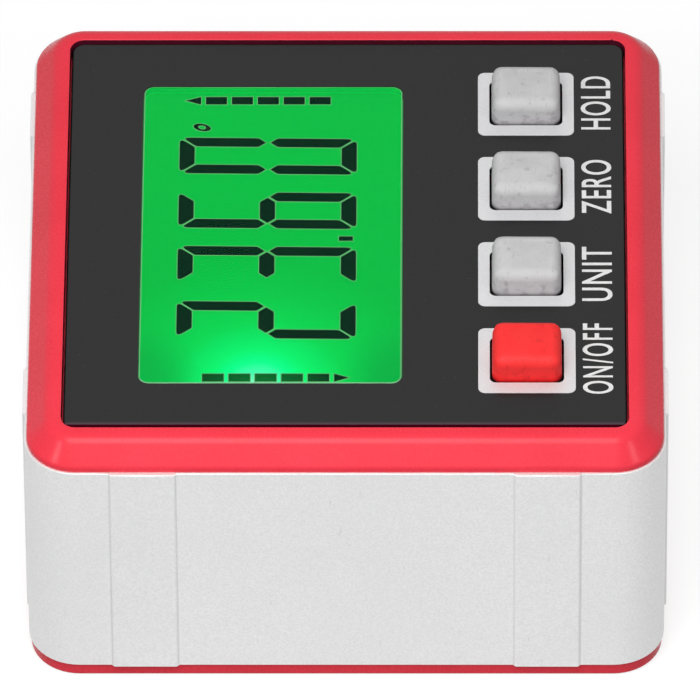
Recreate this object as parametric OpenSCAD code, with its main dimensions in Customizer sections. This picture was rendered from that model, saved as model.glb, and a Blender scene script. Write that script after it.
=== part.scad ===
// Digital angle gauge: a square aluminium tube with measuring lands, closed by two moulded covers.
// It lies on its back: +Z is the display's normal, +X points at its base and +Y along its writing.

/* [Case] */
// Width of the square case, across the measuring lands
case_w = 60; // [60:0.5:70]
// Thickness of the case, from its back to the bezel's rim
case_t = 29.3; // [28.5:0.1:36]
// Corner radius of the aluminium tube
corner_r = 4.8; // [4.5:0.1:6]
// Wall of the aluminium tube
tube_wall = 2.6; // [2.4:0.1:2.8]
// Width of a measuring land at its foot
land_w = 6.4; // [4:0.1:8]
// Distance between the two lands of a side
land_pitch = 37.5; // [34:0.5:40]
// Height of a land above its side
land_h = 0.25; // [0.15:0.05:0.4]
// Sideways run of a land's sloping edge
land_slope = 0.3; // [0.1:0.05:0.6]
// Step from the tube's sides in to the covers
cover_step = 0.2; // [0.1:0.05:0.4]

/* [Bezel] */
// Height of the bezel above the tube
bezel_h = 2.7; // [2.6:0.1:4]
// Height of the upright edge under the bezel's slope
bezel_edge_h = 0.5; // [0.3:0.1:1]
// Sideways run of the bezel's slope
bezel_run = 2; // [1.5:0.1:2.4]
// Rounding between the upright edge and the slope
bezel_low_r = 0.6; // [0.3:0.1:0.8]
// Rounding between the slope and the rim
bezel_top_r = 1.6; // [0.4:0.1:2]
// Width of the flat rim round the panel
rim_w = 1.3; // [0.8:0.1:1.6]
// Depth of the panel's face below the rim
panel_sink = 0.35; // [0.2:0.05:0.5]
// Depth of the spigot inside the tube, both covers
spigot_h = 3; // [2:0.5:4]
// Wall of the spigot, both covers
spigot_wall = 1.4; // [1.2:0.1:1.6]

/* [Panel] */
// Thickness of the front panel
panel_t = 1; // [0.8:0.05:1.1]
// Gap between the panel and the bezel's recess
panel_gap = 0.15; // [0.1:0.05:0.3]
// Thickness of the adhesive sheet under the panel
tape_t = 0.15; // [0.1:0.05:0.2]
// Centre of the display window, along X
window_x = -7; // [-7.2:0.1:-6.8]
// Corner radius of the display window
window_r = 1; // [0.6:0.1:2]

/* [Keys] */
// Centre of the row of keys, along X
key_x = 16.85; // [16.4:0.05:17]
// Distance from key to key
key_pitch = 11.6; // [11:0.1:11.8]
// Shift of the row of keys along Y
key_row_y = 0.3; // [0:0.1:0.3]
// Width of a key, along X
key_w = 6.6; // [5.5:0.1:6.8]
// Length of a key, along Y
key_l = 5.9; // [5:0.1:6]
// Height of a key above the panel
key_h = 2.7; // [1.8:0.1:3.5]
// Rise of a key's crowned top over its edges
key_crown = 0.3; // [0.1:0.05:0.4]
// Radius of a key's corners and top edges
key_r = 0.6; // [0.5:0.1:1.2]
// Inward lean of a key's sides
key_draft = 0.12; // [0:0.02:0.2]
// Gap between a key and its opening
key_gap = 0.15; // [0.15:0.05:0.25]
// Travel of a key
key_travel = 0.8; // [0.4:0.1:1]
// Width of the silver border beside a key's opening, along X
border_w = 1.1; // [0.6:0.05:1.15]
// Width of the silver border at the ends of a key's opening, along Y
border_l = 1.25; // [0.8:0.05:1.35]
// Depth of the silver border in the panel
border_t = 0.1; // [0.08:0.02:0.2]

/* [Display] */
// Width of the display's front glass, along X
glass_w = 29.3; // [26:0.1:32]
// Length of the display's glass, along Y
glass_l = 42.4; // [38:0.1:46]
// Thickness of one of the display's two glasses
glass_t = 0.55; // [0.4:0.05:0.7]
// Width of the contact ledge of the front glass
ledge_w = 2.7; // [2.5:0.1:3]
// How far the glass runs past the window, on every side
glass_margin = 1.05; // [0.8:0.05:1.4]
// Thickness of the light guide
guide_t = 2.4; // [2:0.1:2.6]
// Wall and floor of the light guide's holder
holder_t = 1; // [0.8:0.1:1.1]

/* [Board] */
// Depth of the circuit board below the bezel's seat
board_drop = 5.8; // [5.6:0.1:6.4]
// Thickness of the circuit board
board_t = 1.6; // [1:0.1:2]
// Gap between the circuit board and the tube
board_gap = 1.2; // [1:0.1:1.6]
// Side of a key switch's body
switch_w = 6; // [5:0.5:6]
// Height of a key switch's body
switch_h = 3.1; // [2.9:0.1:3.3]
// Diameter of a key switch's plunger
plunger_d = 3.4; // [3:0.1:3.6]
// Height of a plunger above its switch
plunger_out = 1; // [1:0.05:1.1]

/* [Battery] */
// Diameter of a battery cell
cell_d = 10.5; // [10.2:0.1:10.5]
// Length of a battery cell with its nub
cell_l = 44.5; // [43.5:0.1:44.5]
// Room round a cell
cell_gap = 0.3; // [0.2:0.05:0.4]
// Length of a loaded contact spring
spring_l = 2.7; // [2.4:0.1:3]
// Thickness of the contact plates
contact_t = 0.4; // [0.3:0.05:0.5]
// Wall of the battery bay
bay_wall = 1.2; // [1:0.1:1.5]

/* [Back] */
// Thickness of the back cover where it shows under the tube
back_edge_t = 1.55; // [1.5:0.05:2]
// Thickness of the back cover inside the tube
back_t = 2.6; // [2.4:0.1:3]
// Rounding round the back face
back_r = 0.4; // [0.2:0.05:0.6]
// Thickness of the battery door
door_t = 1.2; // [1.1:0.05:1.25]
// Depth of the door below the back face
door_sink = 0.15; // [0.1:0.05:0.2]
// Gap between the door and the back cover
door_gap = 0.15; // [0.1:0.05:0.2]
// Height of the door's side tongues
tongue_t = 0.5; // [0.4:0.05:0.6]
// Reach of the door's side tongues
tongue_w = 0.8; // [0.5:0.1:1]

/* [Fasteners] */
// Diameter of the long case screws
screw_d = 2.5; // [2.2:0.1:2.6]
// Length of the long case screws under the head
screw_l = 18; // [16:0.5:20]
// Diameter of the case screws' heads
head_d = 4.6; // [4:0.1:4.8]
// Height of the case screws' heads
head_h = 1.5; // [1.2:0.1:1.6]
// Distance from the tube's inner wall to a case screw's axis
post_inset = 3; // [2.9:0.05:3.2]
// Radius of the posts and bosses round the case screws
post_r = 2.8; // [2.6:0.1:2.8]
// Diameter of the board screws
board_screw_d = 2; // [1.8:0.1:2.2]
// Length of the board screws under the head
board_screw_l = 5; // [4:0.5:6]

/* [Magnets] */
// Diameter of a base magnet
magnet_d = 10; // [6:0.5:12]
// Thickness of a base magnet
magnet_t = 1.9; // [1:0.1:1.9]
// Distance between the two base magnets
magnet_pitch = 16; // [13:0.5:18]

/* [Hidden] */
$fn = 48;
EPS = 0.01;
ARC_STEPS = 6;
CORNERS = [[-1, -1], [1, -1], [1, 1], [-1, 1]];

// Clearances
fit_gap = 0.1; // spigots in the tube and other seats that a hand presses together
press_gap = 0.03; // pieces that are glued or pressed in
screw_gap = 0.02; // a screw's thread in its boss
hole_gap = 0.2; // a screw's shank or head in a plain hole, radially
contact_gap = 0.05; // a contact plate and the nub of its cell
overlap = 0.5; // how far a plate runs into the ring that carries it

// Plan sizes of the case
tube_w = case_w - 2 * land_h;
inner_w = tube_w - 2 * tube_wall;
inner_r = corner_r - tube_wall;
cover_w = tube_w - 2 * cover_step;
cover_r = corner_r - cover_step;
spigot_w = inner_w - 2 * fit_gap;
spigot_r = inner_r - fit_gap;
spigot_in_w = spigot_w - 2 * spigot_wall;
spigot_in_r = 0.5;
ring_w = bezel_run + rim_w;
recess_w = cover_w - 2 * ring_w;
recess_r = cover_r - ring_w;
panel_w = recess_w - 2 * panel_gap;
panel_r = recess_r - panel_gap;
board_w = inner_w - 2 * board_gap;
post_at = inner_w / 2 - post_inset;

// Heights of the front stack, from the rim down
seat_z = case_t - bezel_h;
face_z = case_t - panel_sink;
tape_z = face_z - panel_t;
floor_z = tape_z - tape_t;
ledge_z = floor_z - glass_t;
guide_z = ledge_z - glass_t;
holder_z = guide_z - guide_t;
board_z = seat_z - board_drop;
plunger_z = board_z + switch_h + plunger_out;

// Keys
key_count = 4;
key_open_w = key_w + 2 * key_gap;
key_open_l = key_l + 2 * key_gap;
border_out_w = key_open_w + 2 * border_w;
border_out_l = key_open_l + 2 * border_l;
border_r = 0.7;
bezel_key_gap = 0.15; // the bezel's key openings are this much wider than the panel's
crown_d = 2.4; // the level middle of a key's top
flange_w = 0.6;
flange_t = 0.8;
flange_gap = 0.1;
stem_d = 4.2;
plunger_in = 0.8;
function key_y(i) = key_row_y + ((key_count - 1) / 2 - i) * key_pitch;

// Display
lens_gap = 0.05;
window_w = glass_w - ledge_w - 2 * glass_margin;
window_l = glass_l - 2 * glass_margin;
glass_x0 = window_x - window_w / 2 - glass_margin;
well_gap = 0.3; // room for the display in the bezel's floor
cell_glass_w = glass_w - ledge_w;
guide_inset = holder_t + fit_gap;
leg_w = 3;
zebra_w = 1.8;
zebra_l = 36;
led_w = 3;
led_t = 1;
led_h = 1.6;
led_gap = 0.2;

// Battery bay
cell_x = cell_d / 2 + cell_gap / 2;
bay_half_w = cell_x + cell_d / 2 + cell_gap;
bay_half_l = (cell_l + spring_l) / 2 + contact_t;
door_top_z = door_sink + door_t;
slot_top_z = door_top_z + fit_gap;
cell_z = door_top_z + cell_gap + cell_d / 2;
bay_top_z = cell_z + cell_d / 2 + cell_gap;
cell_bevel = 0.4;
nub_d = 3.8;
nub_l = 1;
contact_w = 8;
contact_h = 8;
tab_w = 3;
tab_out = 1.4; // a contact's tab stands this far out of the bay's roof
tab_z = bay_top_z + bay_wall + tab_out;
spring_d = 6.4;
spring_tip_d = 4.6;
spring_wire_d = 0.6;
spring_turns = 3;
spring_root = 0.1; // the spring's first turn sinks this far into its plate
wire_d = 1.2;
LEAD = [[0, 0], [1.5, 0], [5, 0.3], [8, 0.6], [9, 0.85], [9, 1]]; // run in mm, share of the rise

// Back cover and door
back_ring_w = 3;
head_seat_z = head_h + 0.4;
post_top_z = 12;
boss_gap = 0.1;
pilot_spare = 1; // a blind screw hole is this much deeper than its screw
tongue_z = door_sink + (door_t - tongue_t) / 2;
tongue_end = 5; // the tongues stop this far short of the tube's inner wall
door_lap = 0.6; // the door stops this far short of the bay's end
door_y0 = -bay_half_l + door_lap;
door_y1 = cover_w / 2;
grip_w = 14;
grip_pitch = 1.6;
grip_ridges = 5;
grip_cut = 0.35;
grip_end = 4;

// Board screws and the parts soldered under the board: [x, y, width, length, thickness]
board_screw_y = key_pitch;
board_boss_d = 3.6;
board_head_d = 3.6;
board_head_h = 1.4;
board_hole_r = post_r + 0.4;
CONTROLLER = [-4, -6, 10, 10, 1.4];
SENSOR = [8, 6, 4, 4, 1];
CRYSTAL = [-14, -6, 3.2, 5, 1.2];
CAPACITOR = [14, -8, 4, 4, 2];

// Magnets
magnet_x = tube_w / 2 - magnet_t - fit_gap;
magnet_z = (back_edge_t + seat_z) / 2;

// Colours
ALUMINIUM = [0.84, 0.84, 0.85];
RED = [0.93, 0.22, 0.28];
BLACK = [0.13, 0.13, 0.14];
SILVER = [0.83, 0.83, 0.85];
KEY_GREY = [0.76, 0.76, 0.77];
STEEL = [0.72, 0.73, 0.75];
IVORY = [0.9, 0.9, 0.88];
CLEAR = [0.78, 0.93, 0.84];
GLOW = [0.1, 0.75, 0.3];
BOARD = [0.05, 0.4, 0.2];
ELASTOMER = [0.85, 0.5, 0.5];
TANTALUM = [0.75, 0.6, 0.25];

// Points of the arc of radius r that rounds the corner p between the points a and b
function unit(v) = v / norm(v);
function rounding(a, p, b, r) =
    let (u = unit(a - p),
         v = unit(b - p),
         half = acos(u * v) / 2,
         centre = p + unit(u + v) * r / sin(half),
         from = p + u * r / tan(half) - centre,
         to = p + v * r / tan(half) - centre,
         start = atan2(from[1], from[0]),
         turn = atan2(from[0] * to[1] - from[1] * to[0], from * to))
    [for (i = [0 : ARC_STEPS])
        let (angle = start + turn * i / ARC_STEPS)
        centre + r * [cos(angle), sin(angle)]];

// Flat outline with round corners, centred
module rounded(w, l, r) {
    square([w - 2 * r, l], center = true);
    square([w, l - 2 * r], center = true);
    for (s = CORNERS)
        translate([s[0] * (w / 2 - r), s[1] * (l / 2 - r)])
            circle(r);
}

// Plate with round corners, from z0 to z1
module plate(w, l, r, z0, z1) {
    translate([0, 0, z0])
        linear_extrude(z1 - z0)
            rounded(w, l, r);
}

// A section swept round a square of width w with corners of radius r; x in the section runs inwards
module swept_ring(w, r) {
    reach = w - 2 * r;
    for (turn = [0, 90, 180, 270])
        rotate(turn) {
            translate([reach / 2, w / 2, 0])
                rotate([90, 0, -90])
                    linear_extrude(reach)
                        children();
            translate([reach / 2, reach / 2, 0])
                rotate_extrude(angle = 90)
                    translate([r, 0])
                        mirror([1, 0])
                            children();
        }
}

// Its children at the four case screws
module at_posts() {
    for (s = CORNERS)
        translate([s[0] * post_at, s[1] * post_at, 0])
            children();
}

// Its children at the four board screws, which stand between the keys
module at_board_screws() {
    for (s = CORNERS)
        translate([s[0] * post_at, s[1] * board_screw_y, 0])
            children();
}

// Its children at every key
module at_keys() {
    for (i = [0 : key_count - 1])
        translate([key_x, key_y(i), 0])
            children();
}

// Round bar swept along a path; no stretch of the path runs along the direction side
function bar_ring(path, i, r, sides, side) =
    let (t = path[min(i + 1, len(path) - 1)] - path[max(i - 1, 0)],
         n = unit(cross(t, side)),
         b = unit(cross(n, t)))
    [for (k = [0 : sides - 1])
        path[i] + r * (cos(360 * k / sides) * n + sin(360 * k / sides) * b)];

module bar_along(path, r, sides, side) {
    last = len(path) - 1;
    points = [for (i = [0 : last]) each bar_ring(path, i, r, sides, side)];
    walls = [for (i = [0 : last - 1])
        for (k = [0 : sides - 1])
            [i * sides + k, i * sides + (k + 1) % sides,
             (i + 1) * sides + (k + 1) % sides, (i + 1) * sides + k]];
    ends = [[for (k = [sides - 1 : -1 : 0]) k], [for (k = [0 : sides - 1]) last * sides + k]];
    polyhedron(points, concat(walls, ends));
}

// Outline of the extruded tube with its two lands on every side
module tube_outline() {
    top_half = land_w / 2 - land_slope;
    land = [[-land_w / 2, -EPS], [land_w / 2, -EPS], [top_half, land_h], [-top_half, land_h]];
    rounded(tube_w, tube_w, corner_r);
    for (turn = [0, 90, 180, 270])
        rotate(turn)
            for (s = [-1, 1])
                translate([s * land_pitch / 2, tube_w / 2])
                    polygon(land);
}

// Round pocket or magnet of the base, in the middle of the tube's length
module at_magnets() {
    for (s = [-1, 1])
        translate([magnet_x, s * magnet_pitch / 2, magnet_z])
            rotate([0, 90, 0])
                children();
}

module body_tube() {
    color(ALUMINIUM)
        difference() {
            translate([0, 0, back_edge_t])
                linear_extrude(seat_z - back_edge_t)
                    tube_outline();
            plate(inner_w, inner_w, inner_r, back_edge_t - 1, seat_z + 1);
            at_magnets()
                cylinder(h = magnet_t + 1, d = magnet_d + 2 * press_gap);
        }
}

module base_magnets() {
    color(STEEL)
        at_magnets()
            cylinder(h = magnet_t, d = magnet_d);
}

// Ring that plugs a cover into the tube
module spigot(z0, z1) {
    difference() {
        plate(spigot_w, spigot_w, spigot_r, z0, z1);
        plate(spigot_in_w, spigot_in_w, spigot_in_r, z0 - 1, z1 + 1);
    }
}

// Section of the bezel's ring: an upright edge, a soft slope and a flat rim
module bezel_section() {
    foot = [0, 0];
    knee = [0, bezel_edge_h];
    brow = [bezel_run, bezel_h];
    rim = [ring_w, bezel_h];
    polygon(concat([foot], rounding(foot, knee, brow, bezel_low_r), rounding(knee, brow, rim, bezel_top_r),
        [rim, [ring_w, 0]]));
}

// Opening in the bezel's floor that lets the display up to the lens
module display_well() {
    translate([glass_x0 - well_gap, -glass_l / 2 - well_gap, seat_z - 1])
        cube([glass_w + 2 * well_gap, glass_l + 2 * well_gap, bezel_h]);
}

module front_bezel() {
    boss_z = post_top_z + boss_gap;
    pilot_h = screw_l + head_seat_z - boss_z + pilot_spare;
    board_pilot_h = board_screw_l - board_t + pilot_spare;
    floor_w = recess_w + 2 * overlap;
    color(RED)
        difference() {
            union() {
                translate([0, 0, seat_z])
                    swept_ring(cover_w, cover_r)
                        bezel_section();
                plate(floor_w, floor_w, recess_r + overlap, seat_z, floor_z);
                spigot(seat_z - spigot_h, seat_z + EPS);
                at_posts()
                    translate([0, 0, boss_z])
                        cylinder(h = seat_z - boss_z + EPS, r = post_r);
                at_board_screws()
                    translate([0, 0, board_z])
                        cylinder(h = board_drop + EPS, d = board_boss_d);
            }
            display_well();
            at_keys()
                plate(key_open_w + 2 * bezel_key_gap, key_open_l + 2 * bezel_key_gap, key_r,
                    seat_z - 1, floor_z + 1);
            at_posts()
                translate([0, 0, boss_z - 1])
                    cylinder(h = pilot_h + 1, d = screw_d + 2 * screw_gap);
            at_board_screws()
                translate([0, 0, board_z - 1])
                    cylinder(h = board_pilot_h + 1, d = board_screw_d + 2 * screw_gap);
        }
}

// Holes of the panel and of the sheet under it: the window and the key openings
module panel_openings(margin, z0, z1) {
    translate([window_x, 0, 0])
        plate(window_w + 2 * margin, window_l + 2 * margin, window_r + margin, z0, z1);
    at_keys()
        plate(key_open_w + 2 * margin, key_open_l + 2 * margin, key_r + margin, z0, z1);
}

module panel_tape() {
    color(BLACK)
        difference() {
            plate(panel_w - 2 * overlap, panel_w - 2 * overlap, panel_r, floor_z, tape_z);
            panel_openings(bezel_key_gap, floor_z - 1, tape_z + 1);
        }
}

module front_panel() {
    color(BLACK)
        difference() {
            plate(panel_w, panel_w, panel_r, tape_z, face_z);
            panel_openings(0, tape_z - 1, face_z + 1);
            at_keys()
                plate(border_out_w, border_out_l, border_r, face_z - border_t, face_z + 1);
        }
}

module display_lens() {
    color(CLEAR)
        translate([window_x, 0, 0])
            plate(window_w - 2 * lens_gap, window_l - 2 * lens_gap, window_r - lens_gap, floor_z, face_z);
}

module key_borders() {
    out_w = border_out_w - 2 * press_gap;
    out_l = border_out_l - 2 * press_gap;
    color(SILVER)
        at_keys()
            difference() {
                plate(out_w, out_l, border_r - press_gap, face_z - border_t, face_z);
                plate(key_open_w, key_open_l, key_r, face_z - 1, face_z + 1);
            }
}

// Rubber key: a crowned cap on a flange that the bezel's floor holds in, and a stem on the plunger
module key(i) {
    top_z = face_z + key_h;
    edge_z = top_z - key_crown - key_r;
    flange_z = seat_z - flange_gap - flange_t;
    hold_w = key_open_w + 2 * bezel_key_gap + 2 * flange_w;
    hold_l = key_open_l + 2 * bezel_key_gap + 2 * flange_w;
    foot_x = key_w / 2 - key_r;
    foot_y = key_l / 2 - key_r;
    translate([key_x, key_y(i), 0]) {
        hull() {
            for (s = CORNERS) {
                translate([s[0] * foot_x, s[1] * foot_y, flange_z])
                    cylinder(h = flange_t, r = key_r, $fn = 32);
                translate([s[0] * (foot_x - key_draft), s[1] * (foot_y - key_draft), edge_z])
                    sphere(key_r, $fn = 32);
            }
            translate([0, 0, edge_z])
                cylinder(h = top_z - edge_z, d = crown_d, $fn = 32);
        }
        plate(hold_w, hold_l, key_r, flange_z, flange_z + flange_t);
        translate([0, 0, plunger_z])
            cylinder(h = flange_z - plunger_z + EPS, d = stem_d);
    }
}

module hold_key() {
    color(KEY_GREY)
        key(0);
}

module zero_key() {
    color(KEY_GREY)
        key(1);
}

module unit_key() {
    color(KEY_GREY)
        key(2);
}

module power_key() {
    color(RED)
        key(3);
}

// Moving pin of a key switch
module plunger(i) {
    translate([key_x, key_y(i), board_z + switch_h - plunger_in])
        cylinder(h = plunger_in + plunger_out, d = plunger_d);
}

module hold_plunger() {
    color(IVORY)
        plunger(0);
}

module zero_plunger() {
    color(IVORY)
        plunger(1);
}

module unit_plunger() {
    color(IVORY)
        plunger(2);
}

module power_plunger() {
    color(IVORY)
        plunger(3);
}

module key_switches() {
    bore_h = plunger_in + key_travel + hole_gap;
    color(BLACK)
        at_keys()
            difference() {
                translate([-switch_w / 2, -switch_w / 2, board_z])
                    cube([switch_w, switch_w, switch_h]);
                translate([0, 0, board_z + switch_h - bore_h])
                    cylinder(h = bore_h + 1, d = plunger_d + 2 * fit_gap);
            }
}

// Display cell: the front glass overhangs the rear glass by the ledge that carries its contacts
module display_glass() {
    color(GLOW)
        translate([glass_x0, -glass_l / 2, 0]) {
            translate([0, 0, ledge_z])
                cube([glass_w, glass_l, glass_t]);
            translate([0, 0, guide_z])
                cube([cell_glass_w, glass_l, glass_t + EPS]);
        }
}

// Light guide, notched at one end for the lamp that lights it from the edge
module light_guide() {
    color(CLEAR)
        difference() {
            translate([glass_x0 + guide_inset, -glass_l / 2 + guide_inset, holder_z])
                cube([cell_glass_w - 2 * guide_inset, glass_l - 2 * guide_inset, guide_t]);
            translate([window_x - led_w / 2 - led_gap, -glass_l / 2 + guide_inset - 1, holder_z - 1])
                cube([led_w + 2 * led_gap, led_t + 2 * led_gap + 1, guide_t + 2]);
        }
}

module backlight_led() {
    color(GLOW)
        translate([window_x - led_w / 2, -glass_l / 2 + guide_inset + led_gap, holder_z])
            cube([led_w, led_t, led_h]);
}

// Tray that holds the light guide under the display, on four legs
module light_holder() {
    color(IVORY)
        translate([glass_x0, -glass_l / 2, 0]) {
            difference() {
                translate([0, 0, holder_z - holder_t])
                    cube([cell_glass_w, glass_l, guide_t + holder_t]);
                translate([holder_t, holder_t, holder_z])
                    cube([cell_glass_w - 2 * holder_t, glass_l - 2 * holder_t, guide_t + 1]);
            }
            for (x = [0, cell_glass_w - leg_w])
                for (y = [0, glass_l - leg_w])
                    translate([x, y, board_z])
                        cube([leg_w, leg_w, holder_z - holder_t - board_z + EPS]);
        }
}

module zebra_strip() {
    color(ELASTOMER)
        translate([glass_x0 + cell_glass_w + (ledge_w - zebra_w) / 2, -zebra_l / 2, board_z])
            cube([zebra_w, zebra_l, ledge_z - board_z]);
}

module main_board() {
    color(BOARD)
        difference() {
            translate([-board_w / 2, -board_w / 2, board_z - board_t])
                cube([board_w, board_w, board_t]);
            at_posts()
                translate([0, 0, board_z - board_t - 1])
                    cylinder(h = board_t + 2, r = board_hole_r);
            at_board_screws()
                translate([0, 0, board_z - board_t - 1])
                    cylinder(h = board_t + 2, d = board_screw_d + 2 * hole_gap);
        }
}

// Flat part soldered under the board
module under_board(part) {
    translate([part[0] - part[2] / 2, part[1] - part[3] / 2, board_z - board_t - part[4]])
        cube([part[2], part[3], part[4]]);
}

module controller_chip() {
    color(BLACK)
        under_board(CONTROLLER);
}

module tilt_sensor() {
    color(BLACK)
        under_board(SENSOR);
}

module clock_crystal() {
    color(STEEL)
        under_board(CRYSTAL);
}

module filter_capacitor() {
    color(TANTALUM)
        translate([CAPACITOR[0], CAPACITOR[1], board_z - board_t - CAPACITOR[4]])
            cylinder(h = CAPACITOR[4], d = CAPACITOR[2]);
}

// Pan-head screw, its shank up from its head's seat at z 0, with a cross in the head
module screw(d, l, head_dia, head_height) {
    cross_l = head_dia * 0.6;
    cross_w = head_dia * 0.2;
    cross_t = head_height * 0.5;
    difference() {
        union() {
            translate([0, 0, -head_height])
                cylinder(h = head_height, d = head_dia);
            translate([0, 0, -EPS])
                cylinder(h = l + EPS, d = d);
        }
        for (turn = [0, 90])
            rotate(turn)
                translate([-cross_l / 2, -cross_w / 2, -head_height - 1])
                    cube([cross_l, cross_w, cross_t + 1]);
    }
}

module board_screws() {
    color(STEEL)
        at_board_screws()
            translate([0, 0, board_z - board_t])
                screw(board_screw_d, board_screw_l, board_head_d, board_head_h);
}

module case_screws() {
    color(STEEL)
        at_posts()
            translate([0, 0, head_seat_z])
                screw(screw_d, screw_l, head_d, head_h);
}

// Slot that the battery door runs in, with a groove for its tongue on both sides
module door_slot() {
    half_w = bay_half_w + door_gap;
    near = door_y0 - door_gap;
    far = cover_w / 2 + 1;
    translate([-half_w, near, -1])
        cube([2 * half_w, far - near, slot_top_z + 1]);
    translate([-half_w, spigot_w / 2, -1])
        cube([2 * half_w, far - spigot_w / 2, back_t + 1]);
    translate([-half_w - tongue_w, near, tongue_z - fit_gap])
        cube([2 * (half_w + tongue_w), far - near, tongue_t + 2 * fit_gap]);
}

// Section of the back cover's edge, rounded towards the back face
module back_section() {
    heel = [0, 0];
    top = [0, back_edge_t];
    inside = [back_ring_w, 0];
    polygon(concat([top], rounding(top, heel, inside, back_r), [inside, [back_ring_w, back_edge_t]]));
}

module back_cover() {
    bay_out_w = 2 * (bay_half_w + bay_wall);
    bay_out_l = 2 * (bay_half_l + bay_wall);
    flat_w = cover_w - 2 * back_ring_w + 2 * overlap;
    flat_r = cover_r - back_ring_w + overlap;
    color(RED)
        difference() {
            union() {
                swept_ring(cover_w, cover_r)
                    back_section();
                plate(flat_w, flat_w, flat_r, 0, back_edge_t);
                plate(spigot_w, spigot_w, spigot_r, back_edge_t - EPS, back_t);
                spigot(back_t - EPS, back_edge_t + spigot_h);
                translate([-bay_out_w / 2, -bay_out_l / 2, back_t - EPS])
                    cube([bay_out_w, bay_out_l, bay_top_z + bay_wall - back_t + EPS]);
                at_posts()
                    translate([0, 0, back_t - EPS])
                        cylinder(h = post_top_z - back_t + EPS, r = post_r);
            }
            translate([-bay_half_w, -bay_half_l, slot_top_z - EPS])
                cube([2 * bay_half_w, 2 * bay_half_l, bay_top_z - slot_top_z + EPS]);
            door_slot();
            for (s = [-1, 1])
                translate([s * cell_x - tab_w / 2 - fit_gap, bay_half_l - contact_t - fit_gap, bay_top_z - 1])
                    cube([tab_w + 2 * fit_gap, contact_t + fit_gap, bay_wall + 2]);
            at_posts() {
                translate([0, 0, -1])
                    cylinder(h = head_seat_z + 1, d = head_d + 2 * hole_gap);
                translate([0, 0, head_seat_z - EPS])
                    cylinder(h = post_top_z, d = screw_d + 2 * hole_gap);
            }
        }
}

// Sliding door with a tongue along both sides and a ridged grip at its open end
module battery_door() {
    tongue_l = inner_w / 2 - tongue_end - door_y0;
    color(RED)
        difference() {
            union() {
                translate([-bay_half_w, door_y0, door_sink])
                    cube([2 * bay_half_w, door_y1 - door_y0, door_t]);
                translate([-bay_half_w - tongue_w, door_y0, tongue_z])
                    cube([2 * (bay_half_w + tongue_w), tongue_l, tongue_t]);
            }
            for (i = [0 : grip_ridges - 1])
                translate([-grip_w / 2, door_y1 - grip_end - i * grip_pitch, door_sink - 1])
                    cube([grip_w, grip_pitch / 2, grip_cut + 1]);
        }
}

// Battery cell along +Y, from its flat end at y 0 to its nub
module cell() {
    r = cell_d / 2;
    body_l = cell_l - nub_l;
    color(BLACK)
        rotate([-90, 0, 0])
            rotate_extrude()
                polygon([[0, 0], [r - cell_bevel, 0], [r, cell_bevel], [r, body_l - cell_bevel],
                    [r - cell_bevel, body_l], [nub_d / 2, body_l], [nub_d / 2, cell_l], [0, cell_l]]);
}

module cell_a() {
    translate([-cell_x, bay_half_l - contact_t - cell_l, cell_z])
        cell();
}

module cell_b() {
    translate([cell_x, -bay_half_l + contact_t + cell_l, cell_z])
        rotate(180)
            cell();
}

// Conical contact spring along +Y, wound from its plate's face at y 0 to the cell
module contact_spring() {
    steps = 14;
    count = spring_turns * steps;
    wire_r = spring_wire_d / 2;
    y0 = wire_r - contact_gap - spring_root;
    y1 = spring_l - wire_r - press_gap;
    path = [for (i = [0 : count])
        let (share = i / count,
             r = (spring_d + share * (spring_tip_d - spring_d)) / 2 - wire_r,
             angle = 360 * i / steps)
        [r * cos(angle), y0 + share * (y1 - y0), r * sin(angle)]];
    bar_along(path, wire_r, 8, [0, 1, 0]);
}

// Flat contact plate against an end wall of the bay, just behind the plane y 0 that the cell reaches
module contact_plate(w) {
    translate([-w / 2, -contact_t, cell_z - contact_h / 2])
        cube([w, contact_t - contact_gap, contact_h]);
}

// Contact plate with a tab that passes up through the bay's roof to its lead
module tabbed_plate() {
    contact_plate(contact_w);
    translate([-tab_w / 2, -contact_t, cell_z])
        cube([tab_w, contact_t - contact_gap, tab_z - cell_z]);
}

module bridge_contact() {
    color(STEEL)
        translate([0, -bay_half_l + contact_t, 0]) {
            contact_plate(2 * cell_x + contact_w);
            translate([-cell_x, 0, cell_z])
                contact_spring();
        }
}

module positive_contact() {
    color(STEEL)
        translate([-cell_x, bay_half_l - contact_t, 0])
            rotate(180)
                tabbed_plate();
}

module negative_contact() {
    color(STEEL)
        translate([cell_x, bay_half_l - contact_t, 0])
            rotate(180) {
                tabbed_plate();
                translate([0, 0, cell_z])
                    contact_spring();
            }
}

// Insulated lead from a contact's tab up to the underside of the board, on the side s
module lead(s) {
    y0 = bay_half_l - contact_t;
    z0 = tab_z - wire_d / 2;
    rise = board_z - board_t - press_gap - z0;
    path = [for (p = LEAD) [s * cell_x, y0 - p[0], z0 + p[1] * rise]];
    bar_along(path, wire_d / 2, 10, [1, 0, 0]);
}

module red_lead() {
    color(RED)
        lead(-1);
}

module black_lead() {
    color(BLACK)
        lead(1);
}

body_tube();
front_bezel();
panel_tape();
front_panel();
display_lens();
key_borders();
hold_key();
zero_key();
unit_key();
power_key();
hold_plunger();
zero_plunger();
unit_plunger();
power_plunger();
key_switches();
display_glass();
light_guide();
light_holder();
backlight_led();
zebra_strip();
main_board();
controller_chip();
tilt_sensor();
clock_crystal();
filter_capacitor();
board_screws();
back_cover();
battery_door();
cell_a();
cell_b();
bridge_contact();
positive_contact();
negative_contact();
red_lead();
black_lead();
base_magnets();
case_screws();
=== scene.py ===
# %% [markdown]
# # A digital angle gauge
# The real object is a square box of extruded aluminium, 60 mm wide, closed by a red plastic bezel in
# front and a red plastic cover behind. Its face is a black panel with a lit green display and four
# rubber keys. This lesson dresses the measured CAD model of it: every cell makes one piece or one
# finish, says why it is made that way, and prints what it made.
#
# The frame comes first. It holds the CAD nodes at their true size in metres, and every piece that we
# add rides on one of its bodies, so that the keys can be pressed and the battery door can slide.

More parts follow.
